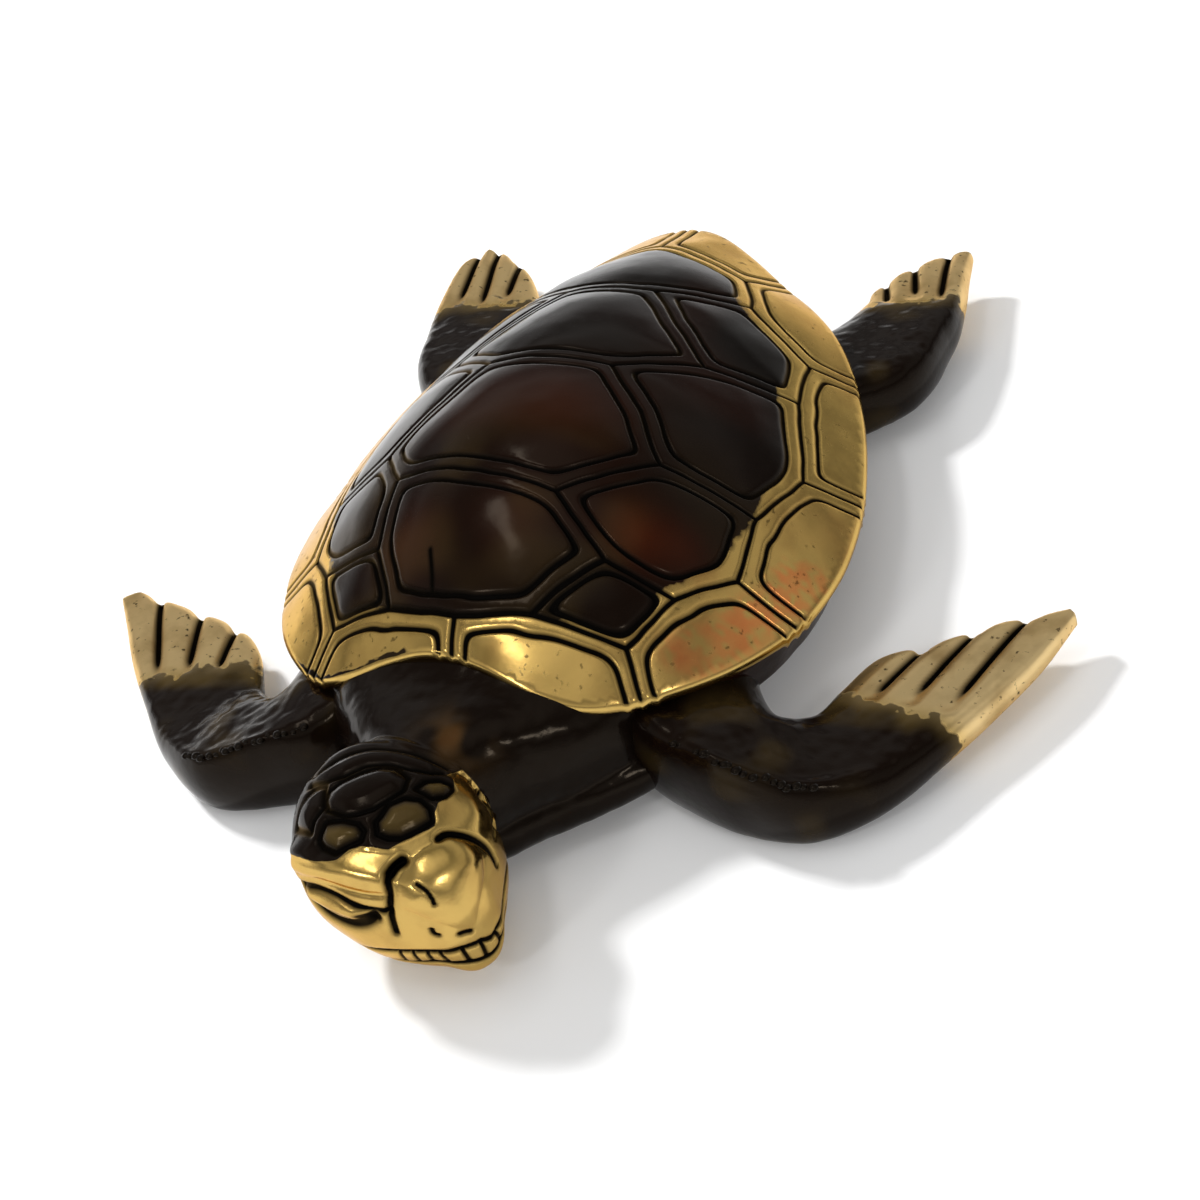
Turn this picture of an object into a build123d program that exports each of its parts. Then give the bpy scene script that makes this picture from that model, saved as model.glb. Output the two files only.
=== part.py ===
from build123d import *
import math
import os

# Shell plan and dome, millimetres. Head towards -Y, the animal's left is +X.
half_width = 41.0
widest_y = -14.5
front_len = 40.0
rear_len = 64.5
front_power = 2.08
rear_power = 1.82
pinch_y = 31.0
pinch_rate = 0.025
pinch_soft = 3.0
rim_z = 13.0
rim_lift = 7.0
dome_rise = 25.0
rim_edge = 1.8
wall = 3.4

# Scutes: seam width between raised plates, corner radius and raise
seam = 1.7
scute_corner = 1.6
scute_raise = 0.7
rim_band = 0.985

# Belly: plan scale of the outer wall at each height, and of the hollow
belly_wall = [(0.0, 0.70), (2.4, 0.83), (6.5, 0.93), (12.0, 0.97), (28.0, 0.975)]
hollow_wall = [(wall, 0.69), (6.0, 0.81), (10.0, 0.885)]
lip_height = 1.2
lip_scale = 0.045

# Fits
fit = 0.1
arch_fit = 0.2

# Neck arch in the shell and round tenons of head, limbs and tail
arch_half_w = 15.6
arch_half_h = 11.0
arch_z = 12.0
arch_back_y = -48.5
tenon_r = {"head": 5.0, "front": 4.0, "rear": 3.5, "tail": 2.2}
boss_wall = 2.2

# Limbs, written as if on the left: (front edge, back edge, mid height, thickness) from the root out
limbs = {
    "front_left": [((16.0, -47.0), (30.0, -29.0), 8.0, 13.0), ((24.5, -54.0), (33.6, -36.0), 7.4, 12.8),
                   ((33.4, -57.4), (36.8, -39.4), 6.7, 12.0), ((45.4, -58.6), (41.4, -38.8), 5.2, 9.2),
                   ((55.2, -52.0), (44.6, -33.4), 4.7, 6.8), ((60.9, -43.4), (47.4, -27.6), 4.8, 5.4),
                   ((65.7, -35.4), (53.8, -23.4), 5.2, 4.4), ((69.5, -26.8), (62.0, -19.4), 5.5, 3.4),
                   ((71.4, -20.4), (69.6, -18.2), 5.5, 1.7)],
    "front_right": [((16.0, -47.0), (29.0, -29.5), 8.0, 13.0), ((22.5, -55.5), (33.0, -37.5), 7.4, 12.8),
                    ((30.0, -59.6), (36.2, -42.4), 6.7, 12.0), ((39.6, -61.0), (38.8, -41.6), 5.4, 9.6),
                    ((51.0, -53.0), (41.0, -37.4), 4.8, 7.0), ((57.6, -44.8), (44.4, -32.4), 5.0, 5.6),
                    ((63.6, -37.2), (50.6, -28.2), 5.2, 4.6), ((68.6, -30.2), (59.6, -25.2), 5.6, 3.4),
                    ((72.4, -24.2), (70.6, -22.4), 5.8, 1.7)],
    "rear_left": [((30.0, 10.0), (14.0, 28.0), 7.6, 10.0), ((41.6, 25.5), (24.6, 40.0), 6.8, 8.2),
                  ((43.8, 36.5), (27.2, 45.4), 6.2, 6.8), ((43.9, 47.0), (27.4, 51.0), 6.0, 5.4),
                  ((43.2, 55.6), (29.6, 56.0), 6.2, 4.2), ((41.8, 60.4), (35.0, 59.8), 6.4, 2.4)],
    "rear_right": [((30.0, 10.0), (14.0, 28.0), 7.6, 10.0), ((43.0, 27.0), (25.0, 41.0), 6.8, 8.4),
                   ((46.0, 38.0), (27.8, 46.5), 6.2, 7.0), ((47.6, 49.0), (29.6, 51.6), 6.0, 5.6),
                   ((47.8, 58.0), (33.4, 57.6), 6.2, 4.4), ((46.4, 64.0), (41.0, 63.6), 6.4, 2.4)],
}
fingers = {
    "front_left": [((48.3, -35.6), (52.8, -25.0)), ((53.4, -35.9), (59.0, -21.4)),
                   ((58.6, -36.8), (65.4, -18.2))],
    "front_right": [((48.0, -38.6), (50.4, -28.0)), ((52.6, -39.3), (57.6, -25.4)),
                    ((56.8, -40.9), (66.4, -23.0))],
    "rear_left": [((31.4, 44.8), (28.7, 54.0)), ((35.5, 46.3), (32.4, 58.6)), ((39.7, 44.7), (37.6, 61.0))],
    "rear_right": [((35.0, 47.7), (37.4, 61.4)), ((38.3, 44.4), (42.8, 64.8)), ((42.7, 45.3), (45.8, 65.0))],
}
finger_slot = 1.0
finger_depth = 0.9

# Head: centre and turn to the animal's left; then (y, z, half width, up, down) in its own frame
head_centre = (-0.5, -71.5, 14.2)
head_turn = 48.0
skull = [(12.6, 0.5, 6.0, 5.4, 5.0), (11.4, 0.4, 9.0, 7.6, 6.8), (8.0, 0.3, 11.4, 9.4, 8.4),
         (3.0, 0.1, 13.0, 10.6, 9.6), (-2.0, 0.0, 12.4, 10.4, 10.0), (-6.0, -0.4, 11.0, 9.2, 10.0),
         (-9.5, -1.0, 9.2, 7.8, 9.6), (-12.2, -1.8, 7.4, 6.4, 8.8), (-14.0, -2.8, 5.6, 4.8, 7.4),
         (-15.2, -3.8, 3.4, 3.0, 4.6)]
crown_power = 2.3
jaw_power = 3.0
brow = ((2.6, 4.6, 1.8), (8.2, -5.2, 5.9))
eye = ((2.0, 2.8, 2.0), (10.4, -4.6, 1.6))
nose = ((5.4, 4.4, 5.0), (0.0, -11.2, 1.4))
mouth_z = -4.2
mouth_gap = 0.7
mouth_depth = 0.93

# Neck and low chest lobe: (y, x, z, half width, half height)
neck = [(-43.0, 0.0, 10.0, 23.0, 9.0), (-48.0, 0.0, 10.4, 23.4, 9.6), (-52.0, 0.0, 11.1, 20.6, 10.1),
        (-56.0, -0.3, 11.5, 16.0, 10.3), (-60.0, -0.6, 12.0, 12.8, 10.2), (-65.0, -1.0, 13.0, 11.0, 9.6),
        (-70.0, -1.4, 13.6, 10.0, 8.6)]
chest = [(-43.0, 0.0, 5.7, 27.0, 4.8), (-50.0, 0.0, 5.7, 24.0, 4.8), (-55.0, 0.0, 5.7, 18.6, 4.8),
         (-59.0, 0.0, 5.8, 13.0, 4.8), (-63.0, 0.0, 6.2, 9.0, 4.6), (-66.0, 0.0, 7.0, 6.0, 4.0)]

# Tail: (y past the shell's end, x, z, half width, half height)
shell_end = widest_y + rear_len
tail_line = [(-8.0, 0.0, 9.0, 4.6, 3.6), (-1.0, 0.0, 7.6, 3.4, 2.6), (5.0, 0.0, 5.2, 2.0, 1.6),
             (9.0, 0.0, 3.6, 0.7, 0.6)]

# Joints of the scute seams on the left half, seen from above
joint = {
    "front": (0.0, -43.2), "v1m": (10.0, -42.4), "m12": (20.8, -42.9), "v1c": (16.5, -34.0),
    "c12m": (26.0, -34.3), "m23": (30.6, -29.2), "c23m": (31.6, -18.4), "v12": (12.0, -26.2),
    "v2c": (20.2, -18.4), "m34": (34.4, -8.2), "v23": (9.4, -3.5), "v3c": (18.8, 3.5),
    "c34m": (30.2, 6.0), "m45": (28.4, 16.0), "v34": (6.8, 18.8), "c4m": (18.3, 24.0),
    "m56": (14.8, 32.9), "back": (0.0, 39.5),
    "r0": (0.0, -60.0), "r12": (26.5, -54.0), "r23": (44.0, -31.0), "r34": (46.0, -4.0),
    "r45": (42.0, 19.0), "r56": (21.5, 41.0), "r6": (0.0, 54.0),
}
vertebrals = [["front", "v1m", "v1c", "v12"], ["v12", "v2c", "v23"], ["v23", "v3c", "v34"],
              ["v34", "c4m", "m56", "back"]]
costals = [["v1m", "m12", "c12m", "v1c"], ["v1c", "c12m", "m23", "c23m", "v2c", "v12"],
           ["v2c", "c23m", "m34", "c34m", "v3c", "v23"], ["v3c", "c34m", "m45", "c4m", "v34"]]
marginals = [["front", "v1m", "m12", "r12", "r0"], ["m12", "c12m", "m23", "r23", "r12"],
             ["m23", "c23m", "m34", "r34", "r23"], ["m34", "c34m", "m45", "r45", "r34"],
             ["m45", "c4m", "m56", "r56", "r45"], ["m56", "back", "r6", "r56"]]


def mirror_x(points):
    return [(-x, y) for x, y in points]


def plan_t(y):
    return (y - widest_y) / (front_len if y < widest_y else rear_len)


def pinch(y):
    # How far the plan narrows towards the pointed rear
    return 1 + pinch_rate * pinch_soft * math.log1p(math.exp((y - pinch_y) / pinch_soft))


def dome_z(x, y):
    t = plan_t(y)
    power = front_power if t < 0 else rear_power
    rho = (abs(x * pinch(y) / half_width) ** power + abs(t) ** power) ** (1 / power)
    return rim_z + rim_lift * t * t + dome_rise * math.cos(math.pi / 2 * rho)


def outline(scale=1.0, steps=12):
    points = []
    for i in range(2 * steps):
        t = -math.cos(math.pi * i / steps)
        power = front_power if t < 0 else rear_power
        x = half_width * max(1 - abs(t) ** power, 0) ** (1 / power)
        y = t * (front_len if t < 0 else rear_len)
        x /= pinch(widest_y + y)
        points.append((scale * (x if i <= steps else -x), widest_y + scale * y))
    return make_face(Spline(points, periodic=True))


def prism(scale):
    return Pos(0, 0, -5) * extrude(outline(scale), amount=60)


def under_dome(drop=0.0):
    rows = []
    for j in range(21):
        y = -62 + 117 * j / 20
        rows.append([Vector(x, y, dome_z(x, y) - drop) for x in range(-48, 49, 6)])
    return extrude(Face.make_surface_from_array_of_points(rows), amount=60, dir=(0, 0, -1))


def below_seam(raise_by=0.0):
    # Everything under the curved parting face between upper and lower shell
    top = []
    for j in range(13):
        y = -66 + 126 * j / 12
        top.append((y, rim_z - rim_edge + raise_by + rim_lift * plan_t(y) ** 2))
    edge = Spline(top)
    sides = Polyline(top[-1], (top[-1][0], -30), (top[0][0], -30), top[0])
    profile = Plane.YZ * make_face(Curve() + [edge, sides])
    return extrude(profile, amount=60, both=True)


def wall_loft(levels, grow=0.0):
    sections = [Pos(0, 0, z) * outline(scale + grow / half_width) for z, scale in levels]
    return loft(sections)


def scute_faces():
    faces = []
    for names in vertebrals:
        left = [joint[n] for n in names]
        points = left + mirror_x(left[::-1])
        faces.append([p for i, p in enumerate(points) if p != points[i - 1]])
    for names in costals + marginals:
        left = [joint[n] for n in names]
        faces += [left, mirror_x(left)]
    inset = seam / 2 + scute_corner
    band = outline(rim_band)
    plates = []
    for points in faces:
        plate = make_face(Polyline(points, close=True))
        plate = offset(plate, -inset, kind=Kind.INTERSECTION)
        plate = offset(plate, scute_corner, kind=Kind.ARC)
        plates.append(plate & band)
    return plates


def neck_arch(grow=0.0):
    mouth = Plane.XZ * (Pos(0, arch_z) * Ellipse(arch_half_w + grow, arch_half_h + grow))
    return Pos(0, arch_back_y, 0) * extrude(mouth, amount=30)


def tenon(kind, start, end, z, grow=0.0):
    # Round pin from start to end in plan, level at height z
    aim = Vector(end[0] - start[0], end[1] - start[1], 0)
    base = Plane(origin=(start[0], start[1], z), z_dir=aim)
    return extrude(base * Circle(tenon_r[kind] + grow), amount=aim.length)


def tenon_places():
    places = {"head": ("head", (0.0, -44.0), (0.0, -58.0), 10.0),
              "tail": ("tail", (0.0, shell_end - 12.0), (0.0, shell_end - 1.0), 8.2)}
    for side, sign in (("left", 1), ("right", -1)):
        places[f"front_{side}"] = ("front", (22.5 * sign, -35.0), (33.0 * sign, -46.0), 7.6)
        places[f"rear_{side}"] = ("rear", (20.5 * sign, 17.0), (31.0 * sign, 31.0), 7.2)
    return places


def build_carapace(hollow):
    solid = under_dome(scute_raise) & prism(1.0)
    raised = under_dome() & prism(1.0)
    solid += [raised & Pos(0, 0, -5) * extrude(plate, amount=60) for plate in scute_faces()]
    return solid - below_seam() - hollow - neck_arch()


def build_plastron(hollow):
    solid = (wall_loft(belly_wall) & below_seam(-fit)) - hollow
    inner = hollow_wall[-1][1]
    ring = prism(inner - fit / half_width) - prism(inner - lip_scale)
    lip = ring & (below_seam(lip_height) - below_seam(-2 * lip_height))
    solid += lip - neck_arch(fit)
    outer = wall_loft(belly_wall, -fit)
    for kind, start, end, z in tenon_places().values():
        boss = tenon(kind, start, end, z, boss_wall)
        solid += boss & outer & below_seam(-lip_height)
    for kind, start, end, z in tenon_places().values():
        solid -= tenon(kind, start, end, z, fit)
    return solid


def keep_out():
    # Room of the closed shell, a fit larger all round: lower wall, then rim
    lower = wall_loft(belly_wall, fit) & below_seam(fit)
    upper = (prism(1.0 + fit / half_width) - below_seam(-fit)) - neck_arch(-arch_fit)
    return [lower, upper]


def trim(solid, keep):
    # Cut the shell's room away and keep the piece that stands outside it
    for room in keep:
        solid -= room
    return max(solid.solids(), key=lambda s: s.volume)


def blade_section(half_w, half_h):
    # Lens in two arcs, so that front and back edges stay lines along the limb
    over = ThreePointArc((-half_w, 0), (0, half_h), (half_w, 0))
    under = ThreePointArc((half_w, 0), (0, -half_h), (-half_w, 0))
    return make_face(Curve() + [over, under])


def limb(stations, sign, grow=0.0):
    sections = []
    for front, back, z, thick in stations:
        a = Vector(front[0] * sign, front[1], z)
        b = Vector(back[0] * sign, back[1], z)
        chord = b - a
        plane = Plane(origin=(a + b) * 0.5, x_dir=chord, z_dir=chord.cross(Vector(0, 0, 1)))
        sections.append(plane * blade_section(chord.length / 2 + grow, thick / 2 + grow))
    return loft(sections)


def finger_cut(base, end, sign):
    # Slot that starts on the blade's upper face and runs out through the edge
    a = Vector(base[0] * sign, base[1], 0)
    run = Vector(end[0] * sign, end[1], 0) - a
    side = Plane(origin=a, x_dir=run, z_dir=run.cross(Vector(0, 0, 1)))
    up = side.y_dir.Z
    profile = Polyline((0, up * (7.4 - finger_depth)), (run.length, up * 3.4), (run.length, up * 20),
                       (0, up * 20), close=True)
    return extrude(side * make_face(profile), amount=finger_slot / 2, both=True)


def build_limb(name, keep):
    sign = 1 if name.endswith("left") else -1
    solid = trim(limb(limbs[name], sign), keep)
    for base, end in fingers[name]:
        solid -= finger_cut(base, end, sign)
    kind, start, end, z = tenon_places()[name]
    return solid + tenon(kind, start, end, z)


def ball(form):
    half, centre = form
    return Pos(*centre) * scale(Sphere(1.0), by=half)


def pair(form):
    half, (x, y, z) = form
    return [ball((half, (x, y, z))), ball((half, (-x, y, z)))]


def skull_ring(half_w, up, down, steps=16):
    # Rounded crown above, boxier jaw below
    points = []
    for i in range(steps):
        u = 2 * math.pi * i / steps
        power = 2 / (crown_power if math.sin(u) > 0 else jaw_power)
        across = math.copysign(abs(math.cos(u)) ** power, math.cos(u))
        height = math.copysign(abs(math.sin(u)) ** power, math.sin(u))
        points.append((half_w * across, height * (up if height > 0 else down)))
    return make_face(Spline(points, periodic=True))


def rings_loft(rings):
    return loft([Pos(x, y, z) * (Plane.XZ * Ellipse(half_w, half_h)) for y, x, z, half_w, half_h in rings])


def build_head(keep):
    face = loft([Pos(0, y, z) * (Plane.XZ * skull_ring(*ring)) for y, z, *ring in skull])
    slit = Pos(0, -16, mouth_z) * Box(40, 24, mouth_gap)
    face -= slit - scale(face, by=mouth_depth)
    face += pair(brow) + pair(eye) + [ball(nose)]
    face = Pos(*head_centre) * (Rot(0, 0, head_turn) * face)
    shoulders = [limb(limbs["front_left"], 1, fit), limb(limbs["front_right"], -1, fit)]
    solid = trim(face + rings_loft(neck) + rings_loft(chest), keep + shoulders)
    kind, start, end, z = tenon_places()["head"]
    return solid + tenon(kind, start, end, z)


def build_tail(keep):
    kind, start, end, z = tenon_places()["tail"]
    cone = rings_loft([(shell_end + y, *ring) for y, *ring in tail_line])
    return trim(cone, keep) + tenon(kind, start, end, z)


def main():
    floor_z, upright = hollow_wall[-1]
    hollow = wall_loft(hollow_wall) + Pos(0, 0, floor_z) * extrude(outline(upright), amount=30)
    hollow &= under_dome(wall)
    keep = keep_out()
    parts = {"carapace": build_carapace(hollow), "plastron": build_plastron(hollow)}
    parts["head"] = build_head(keep)
    parts["tail"] = build_tail(keep)
    for side in ("left", "right"):
        for end in ("front", "rear"):
            parts[f"{end}_{side}_flipper"] = build_limb(f"{end}_{side}", keep)
    os.makedirs("parts", exist_ok=True)
    for name, solid in parts.items():
        print(name, len(solid.solids()), "solid,", round(solid.volume), "mm3")
        export_step(solid, f"parts/{name}.step")


main()
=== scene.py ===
import math
import bpy
import numpy as np
from mathutils import Matrix, Vector
from mathutils.bvhtree import BVHTree
from mathutils.geometry import delaunay_2d_cdt


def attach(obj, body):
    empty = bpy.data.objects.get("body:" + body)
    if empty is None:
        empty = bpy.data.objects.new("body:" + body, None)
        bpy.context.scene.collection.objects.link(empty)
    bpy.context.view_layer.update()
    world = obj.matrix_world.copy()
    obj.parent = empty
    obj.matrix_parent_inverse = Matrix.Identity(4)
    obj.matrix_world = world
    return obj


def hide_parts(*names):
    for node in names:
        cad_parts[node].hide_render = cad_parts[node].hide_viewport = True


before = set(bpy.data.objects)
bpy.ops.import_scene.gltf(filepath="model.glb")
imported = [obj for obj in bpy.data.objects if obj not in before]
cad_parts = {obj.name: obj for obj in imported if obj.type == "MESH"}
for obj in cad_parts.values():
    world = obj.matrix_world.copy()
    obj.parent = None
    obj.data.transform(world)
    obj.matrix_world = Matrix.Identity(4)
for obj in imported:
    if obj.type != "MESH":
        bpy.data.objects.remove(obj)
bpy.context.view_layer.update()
mm = 0.001


# Helpers: lengths are millimetres until a mesh is made

def ramp(x, low, high):
    t = np.clip((x - low) / (high - low), 0, 1)
    return t * t * (3 - 2 * t)


def bump(x, width):
    return np.exp(-(x / width) ** 2)


def cornerValue(cells, seed):
    n = cells.astype(np.int64)
    h = (n[:, 0] * 374761393 + n[:, 1] * 668265263 + n[:, 2] * 982451653 + seed * 1274126177) & 0xffffffff
    h = ((h ^ (h >> 13)) * 1274126177) & 0xffffffff
    return ((h ^ (h >> 16)) & 0xffff) / 65535.0


def softNoise(points, size, seed=0):
    p = points / size
    base = np.floor(p)
    f = p - base
    f = f * f * (3 - 2 * f)
    total = np.zeros(len(p))
    for k in range(8):
        step = np.array([k & 1, k >> 1 & 1, k >> 2 & 1])
        total += np.prod(np.where(step, f, 1 - f), axis=1) * cornerValue(base + step, seed)
    return 2 * total - 1


def unevenness(points, layers):
    # Each layer is (size, amount, seed)
    return sum(amount * softNoise(points, size, seed) for size, amount, seed in layers)


def toSegment(points, a, b):
    run = b - a
    along = np.clip((points - a) @ run / max(run @ run, 1e-9), 0, 1)
    return np.linalg.norm(points - a - along[:, None] * run, axis=1), along


def toPath(points, path):
    path = np.asarray(path, float)
    best = np.full(len(points), 1e9)
    for a, b in zip(path[:-1], path[1:]):
        best = np.minimum(best, toSegment(points, a, b)[0])
    return best


def through(values, count, steps=24):
    # Smooth curve through rows of values, evenly spaced along the first three columns
    v = np.asarray(values, float)
    ext = np.vstack([2 * v[0] - v[1], v, 2 * v[-1] - v[-2]])
    rows = []
    for i in range(len(v) - 1):
        p0, p1, p2, p3 = ext[i:i + 4]
        for t in np.linspace(0, 1, steps, endpoint=False):
            rows.append(0.5 * (2 * p1 + (p2 - p0) * t + (2 * p0 - 5 * p1 + 4 * p2 - p3) * t ** 2
                               + (3 * p1 - p0 - 3 * p2 + p3) * t ** 3))
    rows = np.array(rows + [v[-1]])
    reach = np.r_[0, np.cumsum(np.linalg.norm(np.diff(rows[:, :3], axis=0), axis=1))]
    at = np.linspace(0, reach[-1], count)
    return np.column_stack([np.interp(at, reach, rows[:, c]) for c in range(v.shape[1])])


def ringFaces(rings, around, flip=False):
    faces = []
    for i in range(rings - 1):
        for j in range(around):
            a, b = i * around + j, i * around + (j + 1) % around
            quad = (a, a + around, b + around, b)
            faces.append(quad[::-1] if flip else quad)
    return faces


def fan(ring, centre, flip=False):
    faces = []
    for i, a in enumerate(ring):
        b = ring[(i + 1) % len(ring)]
        faces.append((b, a, centre) if flip else (a, b, centre))
    return faces


def makePiece(name, points, faces, layers):
    # layers are values from 0 to 1 per point, which the materials read by name
    mesh = bpy.data.meshes.new(name)
    mesh.from_pydata((np.asarray(points) * mm).tolist(), [], faces)
    for key, values in layers.items():
        mesh.attributes.new(key, "FLOAT", "POINT").data.foreach_set("value", np.clip(values, 0, 1))
    mesh.shade_smooth()
    obj = bpy.data.objects.new(name, mesh)
    bpy.context.collection.objects.link(obj)
    return obj


def settle(obj, node, material):
    obj.data.materials.append(material)
    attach(obj, "root")
    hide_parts(node)


# Materials: one shader group mixes bare brass, patina and the black of the cut lines

finish = {
    "brass": (0.56, 0.375, 0.11, 1), "worn": (0.78, 0.58, 0.28, 1), "copper": (0.80, 0.19, 0.06, 1),
    "tarnish": (0.30, 0.18, 0.05, 1),
    "patina": (0.0030, 0.0019, 0.0013, 1), "warm": (0.046, 0.0085, 0.0024, 1), "line": (0.003, 0.0026, 0.0022, 1),
    "ragged": 0.45, "grain": 0.35, "level": 0.40, "edge": 5.0,
    "broad": (160, 4), "fine": (900, 3),
    "pitLevel": 0.64, "pitEdge": 14.0, "pitDark": 0.8, "cutEdge": 1.5, "stainEdge": 3.0, "stain": 0.7,
    "rough": 0.09, "roughBare": 0.06, "roughFine": 0.12, "roughCut": 0.35, "roughDull": 0.18,
    "fineHeight": 0.35, "bump": 0.35, "specular": 0.11, "tint": (1.0, 0.82, 0.62, 1),
    "inputs": ("Bare", "Line", "Warm", "Thin", "Pits", "Dull"),
}


def link(tree, out, into):
    tree.links.new(out, into)


def addNode(tree, kind, links, **settings):
    # links names the input sockets and what feeds them
    node = tree.nodes.new(kind)
    for key, value in settings.items():
        setattr(node, key, value)
    for key, source in links.items():
        link(tree, source, node.inputs[key])
    return node


def mathNode(tree, kind, a, b, clamp=False):
    node = tree.nodes.new("ShaderNodeMath")
    node.operation = kind
    node.use_clamp = clamp
    for socket, value in zip(node.inputs, (a, b)):
        if isinstance(value, (int, float)):
            socket.default_value = value
        else:
            link(tree, value, socket)
    return node.outputs[0]


def mixColour(tree, factor, a, b):
    node = tree.nodes.new("ShaderNodeMix")
    node.data_type = "RGBA"
    for socket, value in ((node.inputs[0], factor), (node.inputs[6], a), (node.inputs[7], b)):
        if isinstance(value, (tuple, float)):
            socket.default_value = value
        else:
            link(tree, value, socket)
    return node.outputs[2]


def noiseNode(tree, vector, scale, detail):
    node = addNode(tree, "ShaderNodeTexNoise", {"Vector": vector})
    node.inputs["Scale"].default_value = scale
    node.inputs["Detail"].default_value = detail
    return node.outputs["Fac"]


def stretch(tree, value, low, gain, clamp=False):
    return mathNode(tree, "MULTIPLY", mathNode(tree, "SUBTRACT", value, low), gain, clamp=clamp)


def newGroup(name, kind, inputs, outputs):
    tree = bpy.data.node_groups.new(name, kind)
    for way, sockets in (("INPUT", inputs), ("OUTPUT", outputs)):
        for key, holds in sockets.items():
            tree.interface.new_socket(key, in_out=way, socket_type="NodeSocket" + holds)
    return tree, tree.nodes.new("NodeGroupInput").outputs, tree.nodes.new("NodeGroupOutput").inputs


def patinaGroup():
    tree, given, result = newGroup(
        "brassPatina", "ShaderNodeTree", {**{key: "Float" for key in finish["inputs"]}, "Vector": "Vector"},
        {"Color": "Color", "Metallic": "Float", "Roughness": "Float", "Height": "Float"})
    broad = noiseNode(tree, given["Vector"], *finish["broad"])
    fine = noiseNode(tree, given["Vector"], *finish["fine"])
    # Edges between bare metal and patina break up along the noise
    ragged = stretch(tree, broad, 0.5, finish["ragged"])
    grain = stretch(tree, fine, 0.5, finish["grain"])
    bare = mathNode(tree, "ADD", given["Bare"], mathNode(tree, "ADD", ragged, grain))
    bare = stretch(tree, bare, finish["level"], finish["edge"], clamp=True)
    # Thinned patina lets some metal through; pits and cut lines stay black
    seen = mathNode(tree, "MULTIPLY", given["Thin"], mathNode(tree, "ADD", broad, 0.5))
    metal = mathNode(tree, "MAXIMUM", bare, seen)
    pit = stretch(tree, fine, finish["pitLevel"], finish["pitEdge"], clamp=True)
    pit = mathNode(tree, "MULTIPLY", mathNode(tree, "MULTIPLY", pit, given["Pits"]), finish["pitDark"])
    cut = mathNode(tree, "MULTIPLY", given["Line"], finish["cutEdge"], clamp=True)
    cut = mathNode(tree, "MAXIMUM", cut, pit)
    dark = mixColour(tree, given["Warm"], finish["patina"], finish["warm"])
    gold = mixColour(tree, given["Dull"], finish["brass"], finish["worn"])
    stain = stretch(tree, broad, 0.5, finish["stainEdge"], clamp=True)
    gold = mixColour(tree, mathNode(tree, "MULTIPLY", stain, finish["stain"]), gold, finish["tarnish"])
    gold = mixColour(tree, mathNode(tree, "MULTIPLY", given["Warm"], broad), gold, finish["copper"])
    colour = mixColour(tree, metal, dark, gold)
    link(tree, mixColour(tree, cut, colour, finish["line"]), result["Color"])
    link(tree, mathNode(tree, "MAXIMUM", metal, cut), result["Metallic"])
    rough = finish["rough"]
    masks = {"roughBare": bare, "roughFine": fine, "roughCut": cut, "roughDull": given["Dull"]}
    for key, mask in masks.items():
        rough = mathNode(tree, "ADD", mathNode(tree, "MULTIPLY", mask, finish[key]), rough)
    link(tree, rough, result["Roughness"])
    height = mathNode(tree, "ADD", mathNode(tree, "MULTIPLY", fine, finish["fineHeight"]), broad)
    link(tree, height, result["Height"])
    return tree


def brassMaterial(name, group, bumpHeight):
    mat = bpy.data.materials.new(name)
    mat.use_nodes = True
    tree = mat.node_tree
    shader = tree.nodes["Principled BSDF"]
    place = tree.nodes.new("ShaderNodeTexCoord")
    coat = addNode(tree, "ShaderNodeGroup", {"Vector": place.outputs["Object"]}, node_tree=group)
    for key in finish["inputs"]:
        attribute = addNode(tree, "ShaderNodeAttribute", {}, attribute_name=key.lower())
        link(tree, attribute.outputs["Fac"], coat.inputs[key])
    shader.inputs["Specular IOR Level"].default_value = finish["specular"]
    shader.inputs["Specular Tint"].default_value = finish["tint"]
    relief = addNode(tree, "ShaderNodeBump", {"Height": coat.outputs["Height"]})
    relief.inputs["Strength"].default_value = finish["bump"]
    relief.inputs["Distance"].default_value = bumpHeight
    for key, into in (("Color", "Base Color"), ("Metallic", "Metallic"), ("Roughness", "Roughness")):
        link(tree, coat.outputs[key], shader.inputs[into])
    link(tree, relief.outputs["Normal"], shader.inputs["Normal"])
    return mat


patina = patinaGroup()
shellBrass = brassMaterial("shellBrass", patina, 0.06 * mm)
darkBrass = brassMaterial("darkBrass", patina, 0.22 * mm)
print("materials ready")


# Carapace: egg-shaped dome, pillow scutes, three cut lines along every seam

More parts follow.
